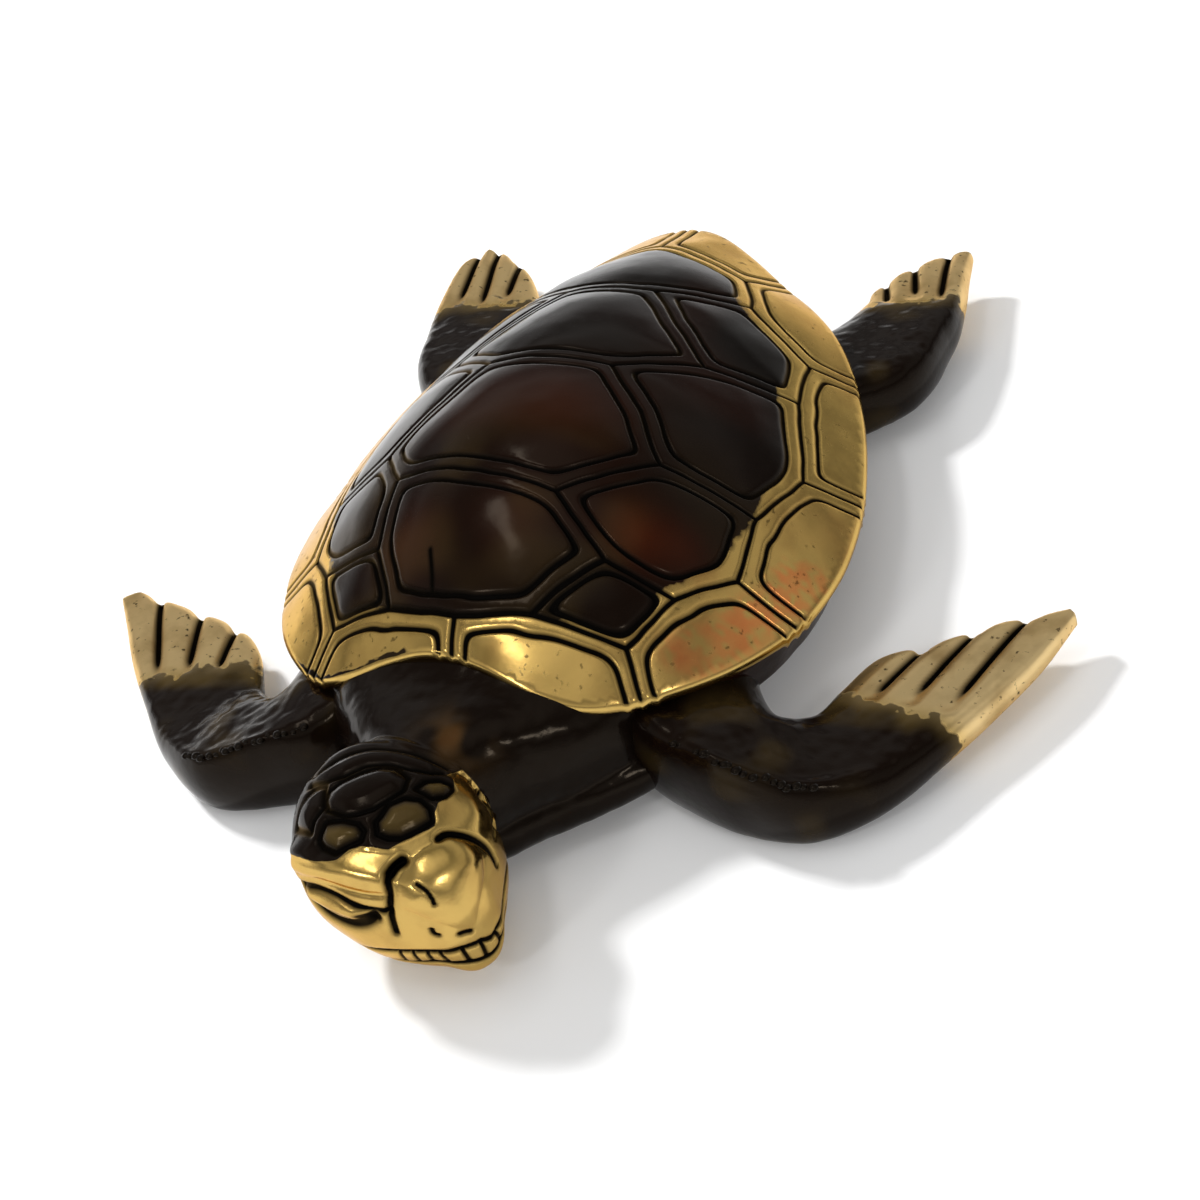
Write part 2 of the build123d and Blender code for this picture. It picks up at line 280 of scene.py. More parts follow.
shell = {
    "halfWidth": 41.0, "widestY": -14.5, "frontLen": 40.0, "rearLen": 64.5, "frontPower": 2.08,
    "rearPower": 1.82, "pinch": 0.025, "pinchY": 31.0, "pinchSoft": 3.0, "rimZ": 13.0, "rimLift": 7.0, "rise": 25.0,
    "notchHalf": 23.0, "notchDeep": 6.6, "notchX": -3.2,
    "lineGap": 1.9, "smallGap": 0.9, "cornerSharp": 1.7, "sway": [(9.0, 0.5, 3), (2.2, 0.09, 5)],
    "seamWidth": 0.27, "seamDepth": 0.50, "lineWidth": 0.25, "lineDepth": 0.50, "frontWider": 0.4,
    "sink": 0.35, "pillow": 0.55, "pillowRun": 7.0, "rimPillow": 0.7, "uneven": [(3.0, 0.06, 8), (8.0, 0.10, 9)],
    "span": (-42, 42, -56, 52), "inner": 0.993, "clear": 0.3, "under": (0.0, -8.0, 11.0),
    "fineStep": 0.24, "coarseStep": 0.75, "fineReach": 0.8, "rimStep": 0.40, "tickZone": (-13.0, 20.0, 3.5),
    "redPatinaAndSheen": [(20, -30, 3.5, 0.6), (25, -29, 3, 0.35), (8, -14, 8, 0.2), (5, -32, 5, 0.2), (-10, -35, 5, 0.25)],
    "smears": [[(27.6, -41.4), (31.4, -37.0), (34.5, -31.6)], [(36.5, -26.8), (38.1, -23.2)]],
    "smearSize": 1.9, "smearWarm": 3.0, "frontThin": 0.02, "frontWearAndSheen": 0.22, "rimPits": 0.7, "tickDark": 0.7,
    "drip": [(-6.3, -36.6), (-5.8, -38.2), (-5.4, -39.6), (-5.1, -41.2)], "dripWidth": 0.34, "dripDark": 0.8,
    "rimProfile": [(0.22, -0.35), (0.36, -0.8), (0.30, -1.4), (-0.1, -1.9), (-1.2, -2.1), (-4.0, -2.1)],
}
joint = {
    "front": (0.0, -43.6), "v1m": (10.0, -42.6), "m12": (21.1, -42.9), "v1c": (16.3, -34.0),
    "c12m": (25.9, -34.4), "m23": (31.0, -29.0), "c23m": (31.3, -19.2), "v12": (12.5, -26.0),
    "v2c": (20.2, -18.4), "m34": (34.4, -8.2), "v23": (9.4, -3.5), "v3c": (18.8, 3.5),
    "c34m": (30.2, 6.0), "m45": (28.4, 16.0), "v34": (6.8, 18.8), "c4m": (18.3, 24.0),
    "m56": (14.8, 32.9), "back": (0.0, 39.5),
    "r0": (0.0, -60.0), "r12": (26.5, -54.0), "r23": (44.0, -31.0), "r34": (46.0, -4.0),
    "r45": (42.0, 19.0), "r56": (21.5, 41.0), "r6": (0.0, 54.0),
}
# Hand-drawn unevenness: the left joint moves by this, the right one by the same across and the opposite along
skew = {"front": (-0.9, 0.0), "v1m": (-1.5, -0.4), "m12": (-0.5, -0.3), "c12m": (-0.7, -1.2), "v12": (-3.2, -1.7)}
vertebrals = ["front v1m v1c v12", "v12 v2c v23", "v23 v3c v34", "v34 c4m m56 back"]
costals = ["v1m m12 c12m v1c", "v1c c12m m23 c23m v2c v12", "v2c c23m m34 c34m v3c v23", "v3c c34m m45 c4m v34"]
marginals = ["front v1m m12 r12 r0", "m12 c12m m23 r23 r12", "m23 c23m m34 r34 r23", "m34 c34m m45 r45 r34",
             "m45 c4m m56 r56 r45", "m56 back r6 r56"]


def planT(y):
    off = y - shell["widestY"]
    return np.where(off < 0, off / shell["frontLen"], off / shell["rearLen"])


def pinchAt(y):
    # The plan narrows towards the tail
    soft = shell["pinchSoft"]
    return 1 + shell["pinch"] * soft * np.logaddexp(0, (y - shell["pinchY"]) / soft)


def domeHeight(x, y):
    t = planT(y)
    q = np.where(t < 0, shell["frontPower"], shell["rearPower"])
    rho = (np.abs(x * pinchAt(y) / shell["halfWidth"]) ** q + np.abs(t) ** q) ** (1 / q)
    z = shell["rimZ"] + shell["rimLift"] * t * t + shell["rise"] * np.cos(math.pi / 2 * np.minimum(rho, 1.02))
    return z, rho


def notchAt(x):
    near = np.clip(np.abs(x - shell["notchX"]) / shell["notchHalf"], 0, 1)
    return shell["notchDeep"] * np.cos(math.pi / 2 * near) ** 2


def frontEdge(x):
    q = shell["frontPower"]
    reach = np.clip(1 - np.abs(x / shell["halfWidth"]) ** q, 0, 1) ** (1 / q)
    return shell["widestY"] - shell["frontLen"] * reach + notchAt(x)


def shellOutline(step, notched=True):
    u = np.linspace(0, 2 * math.pi, 4001)
    q = np.where(np.cos(u) > 0, shell["frontPower"], shell["rearPower"])
    x = shell["halfWidth"] * np.sign(np.sin(u)) * np.abs(np.sin(u)) ** (2 / q)
    t = -np.sign(np.cos(u)) * np.abs(np.cos(u)) ** (2 / q)
    y = shell["widestY"] + t * np.where(t < 0, shell["frontLen"], shell["rearLen"])
    x = x / pinchAt(y)
    if notched:
        y = y + np.where(t < 0, notchAt(x), 0)
    reach = np.r_[0, np.cumsum(np.hypot(np.diff(x), np.diff(y)))]
    at = np.linspace(0, reach[-1], int(reach[-1] / step), endpoint=False)
    return np.column_stack([np.interp(at, reach, x), np.interp(at, reach, y)])


def jointAt(name, sign):
    x, y = joint[name]
    across, along = skew.get(name, (0, 0))
    return x * sign + across, y + along * sign


def scuteCells():
    cells = []
    for kind, lists in (("v", vertebrals), ("c", costals), ("m", marginals)):
        for names in lists:
            names = names.split()
            rim = [n[0] == "r" for n in names]
            gap = shell["smallGap"] if names == costals[0].split() else shell["lineGap"]
            if kind == "v":
                corners = [jointAt(n, 1) for n in names] + [jointAt(n, -1) for n in names[::-1] if joint[n][0] > 0]
                cells.append((kind, np.array(corners), [False] * len(corners), gap))
                continue
            for sign in (1, -1):
                cells.append((kind, np.array([jointAt(n, sign) for n in names]), rim, gap))
    return cells


def insideCell(p, corners):
    corners = np.asarray(corners, float)
    hit = np.zeros(len(p), bool)
    for a, b in zip(corners, np.roll(corners, -1, axis=0)):
        crosses = (a[1] > p[:, 1]) != (b[1] > p[:, 1])
        span = b[1] - a[1] if b[1] != a[1] else 1e-9
        hit ^= crosses & (p[:, 0] < a[0] + (p[:, 1] - a[1]) / span * (b[0] - a[0]))
    return hit


def seamFields(p):
    # Distance to the seam, the same with rounded corners, and whether the scute is a marginal
    flat = np.column_stack([p, np.zeros(len(p))])
    sway = 0
    for size, amount, seed in shell["sway"]:
        sway = sway + np.column_stack([softNoise(flat, size, seed), softNoise(flat, size, seed + 1)]) * amount
    p = p + sway
    hard, soft, rimmed = np.full(len(p), 9.0), np.full(len(p), 9.0), np.zeros(len(p))
    for kind, corners, rim, gap in scuteCells():
        inside = insideCell(p, corners)
        sums, nearest = 0, np.full(inside.sum(), 99.0)
        for i in range(len(corners)):
            j = (i + 1) % len(corners)
            if rim[i] and rim[j]:
                continue
            d = toSegment(p[inside], corners[i], corners[j])[0]
            nearest = np.minimum(nearest, d)
            sums = sums + np.exp(-shell["cornerSharp"] * d)
        hard[inside] = nearest
        soft[inside] = -np.log(sums) / shell["cornerSharp"] + shell["lineGap"] - gap
        rimmed[inside] = kind == "m"
    return hard, soft, rimmed


def lattice(step):
    # Grid of triangles over the plan, kept off the rim
    left, right, front, back = shell["span"]
    rows = []
    for k, y in enumerate(np.arange(front, back, step * 0.866)):
        x = np.arange(left, right, step) + (k % 2) * step / 2
        rows.append(np.column_stack([x, np.full(len(x), y)]))
    p = np.vstack(rows)
    rho = domeHeight(p[:, 0], p[:, 1])[1]
    return p[(rho < shell["inner"]) & (p[:, 1] > frontEdge(p[:, 0]) + shell["clear"])]


def nearLine(p):
    hard, soft, _ = seamFields(p)
    middle, half, deep = shell["tickZone"]
    front = (p[:, 1] < frontEdge(p[:, 0]) + deep) & (np.abs(p[:, 0] - middle) < half)
    near = np.minimum(np.minimum(hard, np.abs(soft - shell["lineGap"])), toPath(p, shell["drip"]))
    return (near < shell["fineReach"]) | front


def shellRelief(plan):
    # Dome with pillowed scutes and cut lines; also where it is cut, where it is bare, and the marginals
    hard, soft, rimmed = seamFields(plan)
    z, rho = domeHeight(plan[:, 0], plan[:, 1])
    wider = 1 + shell["frontWider"] * ramp(-plan[:, 1], 26, 42)
    seamLine = bump(hard, shell["seamWidth"] * wider)
    outLine = bump(soft - shell["lineGap"], shell["lineWidth"] * wider)
    rise = 1 - (1 - np.clip((soft - shell["lineGap"]) / shell["pillowRun"], 0, 1)) ** 2
    z = z - shell["sink"] + shell["pillow"] * rise * np.where(rimmed > 0, shell["rimPillow"], 1)
    z -= shell["seamDepth"] * seamLine + shell["lineDepth"] * outLine
    points = np.column_stack([plan, z])
    points[:, 2] += unevenness(points, shell["uneven"])
    ridge = (1 - ramp(soft, 1.5, 2.0)) * ramp(rho, 0.70, 0.82)
    return points, np.maximum(seamLine, outLine), np.maximum(rimmed, ridge), rimmed


def shellLayers(points, line, bare, rimmed):
    plan = points[:, :2]
    flat = np.column_stack([plan, np.zeros(len(plan))])
    right, front = -plan[:, 0], -plan[:, 1]
    # More bare brass towards the front: partly wear, partly a painted golden sheen along the lower edges of the front
    # scutes
    bare = np.maximum(bare, ramp(front, 30, 44) * shell["frontWearAndSheen"])
    warm = 0.15 * ramp(softNoise(points, 14.0, 11), 0.0, 0.8) + 0.05 * ramp(front, -10, 20)
    # Warm red-brown spots on the front scutes: partly the patina's own red-brown, partly a painted soft brown sheen
    # where the dark lacquer catches light
    for x, y, size, amount in shell["redPatinaAndSheen"]:
        warm += amount * bump(np.hypot(plan[:, 0] - x, plan[:, 1] - y), size)
    streak = ramp(softNoise(flat * np.array([1.6, 1.6, 1]), 1.1, 14), -0.5, 0.2)
    for smear in shell["smears"]:
        warm += shell["smearWarm"] * bump(toPath(plan, smear), shell["smearSize"]) * streak
    line = np.maximum(line, shell["dripDark"] * bump(toPath(plan, shell["drip"]), shell["dripWidth"]))
    thin = shell["frontThin"] * ramp(front, 8, 30) * ramp(softNoise(points, 6.0, 12), -0.4, 0.6)
    # Short dark ticks along the right half of the front edge
    inward = plan[:, 1] - frontEdge(plan[:, 0])
    comb = softNoise(flat * np.array([1, 0.25, 1]), 0.9, 13)
    ticks = (1 - ramp(inward, 0.1, 1.0 + 0.8 * comb)) * ramp(right, 5, 9) * (1 - ramp(right, 26, 32))
    return {"bare": bare - shell["tickDark"] * ticks, "line": line, "warm": warm, "thin": thin,
            "pits": shell["rimPits"] * rimmed}


def buildCarapace():
    edge = shellOutline(shell["rimStep"])
    count = len(edge)
    fine, coarse = lattice(shell["fineStep"]), lattice(shell["coarseStep"])
    flat = np.vstack([edge, fine[nearLine(fine)], coarse[~nearLine(coarse)]])
    found = delaunay_2d_cdt([Vector(v) for v in flat], [], [list(range(count))], 1, 1e-5, True)
    plan = np.array([tuple(v) for v in found[0]])
    points, line, bare, rimmed = shellRelief(plan)
    layers = shellLayers(points, line, bare, rimmed)
    # Triangles that bridge the front notch are left out
    middle = np.array([plan[list(f)].mean(axis=0) for f in found[2]])
    bridges = middle[:, 1] < frontEdge(middle[:, 0]) - 0.05
    faces = [tuple(f) for f, bridge in zip(found[2], bridges) if not bridge]
    # The rim turns under in rows along the outline, and a fan closes the underside
    along = np.roll(edge, -1, axis=0) - np.roll(edge, 1, axis=0)
    out = np.column_stack([along[:, 1], -along[:, 0]])
    out /= np.linalg.norm(out, axis=1)[:, None]
    order = {ids[0]: i for i, ids in enumerate(found[3]) if ids}
    ring = [order[i] for i in range(count)]
    stack, last, total = [points], ring, len(points)
    for away, drop in shell["rimProfile"]:
        stack.append(np.column_stack([edge + out * away, points[ring, 2] + drop]))
        row = list(range(total, total + count))
        for i in range(count):
            j = (i + 1) % count
            faces.append((last[i], row[i], row[j], last[j]))
        last, total = row, total + count
    stack.append([shell["under"]])
    faces += fan(last, total, flip=True)
    for key, values in layers.items():
        layers[key] = np.r_[values, np.full(total + 1 - len(points), float(key == "bare"))]
    return makePiece("carapace", np.vstack(stack), faces, layers)


carapace = buildCarapace()
settle(carapace, "carapace", shellBrass)
print("carapace", len(carapace.data.polygons), "faces")


# Plastron: belly wall that rounds down to a flat foot

belly = {"levels": [0.0, 2.4, 6.5, 12.0, 28.0], "scales": [0.70, 0.83, 0.93, 0.97, 0.975], "rings": 44,
         "step": 0.6, "foot": 10, "footEnd": 0.05, "tuck": 2.0, "lid": 11.0, "uneven": [(4.0, 0.12, 21)],
         "bare": 0.30, "warm": 0.25}


def buildPlastron():
    edge = shellOutline(belly["step"], notched=False)
    middle = np.array([0.0, shell["widestY"]])
    top = shell["rimZ"] + shell["rimLift"] * planT(edge[:, 1]) ** 2 - belly["tuck"]
    rows = []
    for w in np.linspace(1, 0, belly["rings"]):
        z = top * w
        scale = np.interp(z, belly["levels"], belly["scales"])
        rows.append(np.column_stack([middle + (edge - middle) * scale[:, None], z]))
    for s in np.linspace(belly["scales"][0], belly["footEnd"], belly["foot"])[1:]:
        rows.append(np.column_stack([middle + (edge - middle) * s, np.zeros(len(edge))]))
    points = np.vstack(rows)
    lift = ramp(points[:, 2], 0.2, 2.0)
    points[:, :2] += (unevenness(points, belly["uneven"]) * lift)[:, None] * np.sign(points[:, :2])
    n, count = len(edge), len(rows)
    faces = ringFaces(count, n)
    points = np.vstack([points, [[0, middle[1], 0], [0, middle[1], belly["lid"]]]])
    faces += fan(list(range((count - 1) * n, count * n)), count * n, flip=True)
    faces += fan(list(range(n)), count * n + 1)
    bare = belly["bare"] * ramp(softNoise(points, 7.0, 22), -0.2, 0.8)
    none = np.zeros(len(points))
    return makePiece("plastron", points, faces, {"bare": bare, "line": none, "warm": none + belly["warm"]})


plastron = buildPlastron()
settle(plastron, "plastron", darkBrass)
print("plastron", len(plastron.data.polygons), "faces")


# Flippers: (front edge, back edge, mid height, thickness) from the root out, written as if on the left

flipper = {
    "front_left": {
        "stations": [((18.6, -48.6), (32.4, -30.8), 8.0, 13.0), ((25.1, -52.2), (33.3, -35.6), 7.4, 12.8),
                     ((35.0, -55.6), (37.5, -40.8), 6.7, 12.0), ((44.7, -55.8), (41.3, -38.7), 5.2, 9.2),
                     ((53.0, -50.8), (43.2, -33.6), 4.7, 6.8), ((59.5, -42.0), (46.8, -27.2), 4.8, 5.4),
                     ((64.0, -35.0), (53.4, -24.4), 5.2, 4.4), ((68.2, -27.2), (61.3, -20.4), 5.5, 3.4),
                     ((71.1, -19.0), (69.8, -17.4), 5.5, 1.7)],
        "grooves": [((48.3, -35.6), (52.8, -25.0)), ((53.4, -35.9), (59.0, -21.4)),
                    ((58.6, -36.8), (65.4, -18.2))],
        "tide": ((43.0, -35.8), (62.0, -41.2)), "crest": (0.13, 0.40),
    },
    "front_right": {
        "stations": [((16.3, -47.4), (29.5, -29.7), 8.0, 13.0), ((22.2, -54.6), (32.3, -38.3), 7.4, 12.8),
                     ((29.4, -57.2), (33.9, -43.8), 6.7, 12.0), ((40.3, -59.2), (39.5, -41.0), 5.4, 9.6),
                     ((49.6, -53.7), (40.7, -39.2), 4.8, 7.0), ((57.4, -45.0), (44.4, -32.8), 5.0, 5.6),
                     ((63.4, -37.7), (49.9, -28.3), 5.2, 4.6), ((68.5, -30.2), (59.8, -25.3), 5.6, 3.4),
                     ((72.2, -24.9), (69.7, -22.5), 5.8, 1.7)],
        "grooves": [((48.0, -38.6), (50.4, -28.0)), ((52.6, -39.3), (57.6, -25.4)),
                    ((56.8, -40.9), (66.4, -23.0))],
        "tide": ((42.5, -37.2), (60.0, -43.0)), "crest": (0.13, 0.40),
    },
    "rear_left": {
        "stations": [((26.5, 13.8), (13.7, 28.2), 7.6, 10.0), ((39.8, 24.9), (23.5, 38.8), 6.8, 8.2),
                     ((42.9, 38.0), (27.2, 46.4), 6.2, 6.8), ((42.9, 46.5), (27.5, 50.2), 6.0, 5.4),
                     ((42.1, 53.8), (30.5, 54.2), 6.2, 4.2), ((41.7, 58.9), (36.2, 58.4), 6.4, 2.4)],
        "grooves": [((31.4, 44.8), (28.7, 54.0)), ((35.5, 46.3), (32.4, 58.6)), ((39.7, 44.7), (37.6, 61.0))],
        "tide": ((26.0, 43.6), (44.0, 44.6)), "crest": (2.0, 3.0),
    },
    "rear_right": {
        "stations": [((30.3, 10.1), (14.3, 28.2), 7.6, 10.0), ((42.0, 25.4), (23.8, 39.6), 6.8, 8.4),
                     ((45.5, 36.6), (27.1, 45.2), 6.2, 7.0), ((47.5, 48.5), (30.5, 51.0), 6.0, 5.6),
                     ((47.6, 57.7), (34.8, 57.3), 6.2, 4.4), ((44.7, 62.8), (41.0, 62.5), 6.4, 2.4)],
        "grooves": [((35.0, 47.7), (37.4, 61.4)), ((38.3, 44.4), (42.8, 64.8)), ((42.7, 45.3), (45.8, 65.0))],
        "tide": ((29.0, 46.8), (48.0, 42.0)), "crest": (2.0, 3.0),
    },
}
blade = {
    "sections": 210, "around": 160, "frontPower": 7.0, "backPower": 3.0, "wedge": 0.24, "clear": 0.05,
    "crestAt": -0.80, "crestWidth": 0.13, "crestHeight": 0.55, "skin": [(1.3, 0.10, 31), (3.6, 0.16, 32)],
    "grooveWidth": 0.52, "grooveDepth": 1.0, "finger": 0.5, "fingerCalm": 0.8, "notch": 1.3, "notchReach": 1.5,
    "tideSway": [(3.0, 2.0, 33)], "tideSpeckle": [(0.9, 1.6, 35)], "tideThin": 0.12, "thin": 0.03, "warm": 0.03,
}
beads = {"size": 0.62, "spacing": 1.05, "flat": 0.6, "sway": 0.5, "seed": 7,
         "drift": (1, 1, 0.3), "uneven": (0.7, 1.15)}


def side(front, back, p):
    # Distance past the line from front to back, positive away from the shell's middle
    a, b = np.array(front), np.array(back)
    run = b - a
    return ((p[:, 1] - a[1]) * run[0] - (p[:, 0] - a[0]) * run[1]) / np.linalg.norm(run)


def limbPoints(data):
    # Rings from the root to the tip; c runs from the front edge at -1 to the back edge at 1
    rows = [(*f, z, *b, thick) for f, b, z, thick in data["stations"]]
    rows = through(rows, blade["sections"])
    phi = np.linspace(0, 2 * math.pi, blade["around"], endpoint=False)
    c, top = -np.cos(phi), phi <= math.pi
    edge = np.where(c < 0, blade["frontPower"], blade["backPower"])
    full = np.clip(1 - np.abs(c) ** edge, 0, 1) ** 0.5 * (1 - blade["wedge"] * c)
    s = np.linspace(0, 1, blade["sections"])
    low, high = data["crest"]
    crest = ramp(s, low, low + 0.1) * (1 - ramp(s, high, high + 0.2))
    mid = (c + 1)[:, None] / 2
    points = []
    for row, k in zip(rows, crest):
        xy = row[None, 0:2] * (1 - mid) + row[None, 3:5] * mid
        up = full * row[5] / 2
        knuckle = k * blade["crestHeight"] * bump(c - blade["crestAt"], blade["crestWidth"])
        z = np.where(top, row[2] + up + knuckle, row[2] - up)
        points.append(np.column_stack([xy, z]))
    return np.vstack(points), np.tile(c, blade["sections"]), np.tile(top, blade["sections"])


def buildLimb(name, data):
    sign = 1 if name.endswith("left") else -1
    around = blade["around"]
    points, c, top = limbPoints(data)
    flat = points[:, :2].copy()
    near, cut = np.full(len(points), 99.0), np.zeros(len(points))
    for base, end in np.array(data["grooves"]):
        d, along = toSegment(flat, base, end)
        near = np.minimum(near, d)
        cut = np.maximum(cut, bump(d, blade["grooveWidth"]) * ramp(along, 0.0, 0.25))
        # Each groove also notches the edge of the blade at its end
        tip = np.linalg.norm(flat - end, axis=1)
        pull = bump(tip, blade["notchReach"]) * blade["notch"] * ramp(c, 0.2, 0.9)
        points[:, :2] += pull[:, None] * (base - end) / np.linalg.norm(base - end)
    past = side(*data["tide"], flat)
    hand = ramp(past, -2.0, 3.0)
    finger = hand * blade["finger"] * (ramp(near, 0.2, 2.2) - 0.5) * (1 - np.abs(c) ** 6)
    points[:, 2] -= np.where(top, cut * blade["grooveDepth"], 0)
    points[:, 2] += np.where(top, finger, 0)
    skin = unevenness(points, blade["skin"])
    points[:, 2] += skin * (1 - blade["fingerCalm"] * hand) * (1 - np.abs(c) ** 8)
    points[:, 2] = np.maximum(points[:, 2], blade["clear"])
    # Bare metal past the tide line, which is ragged and speckled
    past = past + unevenness(points, blade["tideSway"])
    bare = ramp(past + unevenness(points, blade["tideSpeckle"]), -2.6, 3.2)
    thin = blade["tideThin"] * ramp(past, -4.0, 1.0) + blade["thin"] * ramp(softNoise(points, 5.0, 34), 0, 0.8)
    count = len(points)
    points = np.vstack([points, points[:around].mean(axis=0), points[-around:].mean(axis=0)])
    points[:, 0] *= sign
    faces = ringFaces(blade["sections"], around, flip=sign > 0)
    faces += fan(list(range(around)), count, flip=sign < 0)
    faces += fan(list(range(count - around, count)), count + 1, flip=sign > 0)
    layers = {"bare": np.r_[bare, 0, bare[-1]], "line": np.r_[cut * top, 0, 0],
              "warm": np.full(count + 2, blade["warm"]), "thin": np.r_[thin, 0, 0],
              "pits": np.r_[hand, 0, 1], "dull": np.r_[hand, 0, 1]}
    return makePiece(name + "_flipper", points, faces, layers)


def beadTree():
    # Knobs along a line: flattened balls of uneven size, a little off the line
    tree, given, result = newGroup(
        "beadRow", "GeometryNodeTree",
        {"Geometry": "Geometry", "Size": "Float", "Spacing": "Float", "Flat": "Float", "Sway": "Float",
         "Seed": "Int", "Material": "Material"}, {"Geometry": "Geometry"})
    row = addNode(tree, "GeometryNodeCurveToPoints", {"Curve": given["Geometry"], "Length": given["Spacing"]},
                  mode="LENGTH")
    drift = addNode(tree, "FunctionNodeRandomValue", {"Seed": given["Seed"]}, data_type="FLOAT_VECTOR")
    drift.inputs[0].default_value = [-v for v in beads["drift"]]
    drift.inputs[1].default_value = beads["drift"]
    reach = addNode(tree, "ShaderNodeVectorMath", {0: drift.outputs[0], "Scale": given["Sway"]}, operation="SCALE")
    moved = addNode(tree, "GeometryNodeSetPosition", {"Geometry": row.outputs["Points"], "Offset": reach.outputs[0]})
    ball = addNode(tree, "GeometryNodeMeshIcoSphere", {"Radius": given["Size"]})
    ball.inputs["Subdivisions"].default_value = 2
    smooth = addNode(tree, "GeometryNodeSetShadeSmooth", {0: ball.outputs["Mesh"]})
    uneven = addNode(tree, "FunctionNodeRandomValue", {"Seed": given["Seed"]}, data_type="FLOAT")
    uneven.inputs[2].default_value, uneven.inputs[3].default_value = beads["uneven"]
    wide = uneven.outputs[1]
    low = mathNode(tree, "MULTIPLY", wide, given["Flat"])
    shape = addNode(tree, "ShaderNodeCombineXYZ", {0: wide, 1: wide, 2: low})
    placed = addNode(tree, "GeometryNodeInstanceOnPoints",
                     {"Points": moved.outputs[0], "Instance": smooth.outputs[0], "Scale": shape.outputs[0]})
    real = addNode(tree, "GeometryNodeRealizeInstances", {0: placed.outputs[0]})
    coat = addNode(tree, "GeometryNodeSetMaterial", {"Geometry": real.outputs[0], "Material": given["Material"]})
    link(tree, coat.outputs[0], result["Geometry"])
    return tree


def crestLine(data, sign):
    # Points on the shoulder's crest, from the root to the wrist
    points, c, _ = limbPoints(data)
    low, high = data["crest"]
    at = np.argmin(np.abs(c[:blade["around"] // 2] - blade["crestAt"]))
    line = points[at::blade["around"]]
    run = np.linspace(0, 1, blade["sections"])
    return line[(run > low) & (run < high)] * np.array([sign, 1, 1])


def buildBeads(name, data, tree):
    line = crestLine(data, 1 if name.endswith("left") else -1)
    curve = bpy.data.curves.new(name + "Crest", "CURVE")
    curve.dimensions = "3D"
    spline = curve.splines.new("POLY")
    spline.points.add(len(line) - 1)
    for point, place in zip(spline.points, line * mm):
        point.co = (*place, 1)
    row = bpy.data.objects.new(name + "Crest", curve)
    bpy.context.collection.objects.link(row)
    nodes = row.modifiers.new("beads", "NODES")
    nodes.node_group = tree
    sizes = {"Size": beads["size"] * mm, "Spacing": beads["spacing"] * mm, "Flat": beads["flat"],
             "Sway": beads["sway"] * mm, "Seed": beads["seed"], "Material": darkBrass}
    for item in tree.interface.items_tree:
        if item.in_out == "INPUT" and item.name in sizes:
            nodes[item.identifier] = sizes[item.name]
    mesh = bpy.data.meshes.new_from_object(row.evaluated_get(bpy.context.evaluated_depsgraph_get()))
    bpy.data.objects.remove(row)
    piece = bpy.data.objects.new(name + "_beads", mesh)
    bpy.context.collection.objects.link(piece)
    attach(piece, "root")


beadNodes = beadTree()
for limbName, limbData in flipper.items():
    limb = buildLimb(limbName, limbData)
    settle(limb, limbName + "_flipper", darkBrass)
    if limbName.startswith("front"):
        buildBeads(limbName, limbData, beadNodes)
print("flippers ready")


# Head and neck: lofted forms joined in one skin, then the face is carved by direction from the head's centre

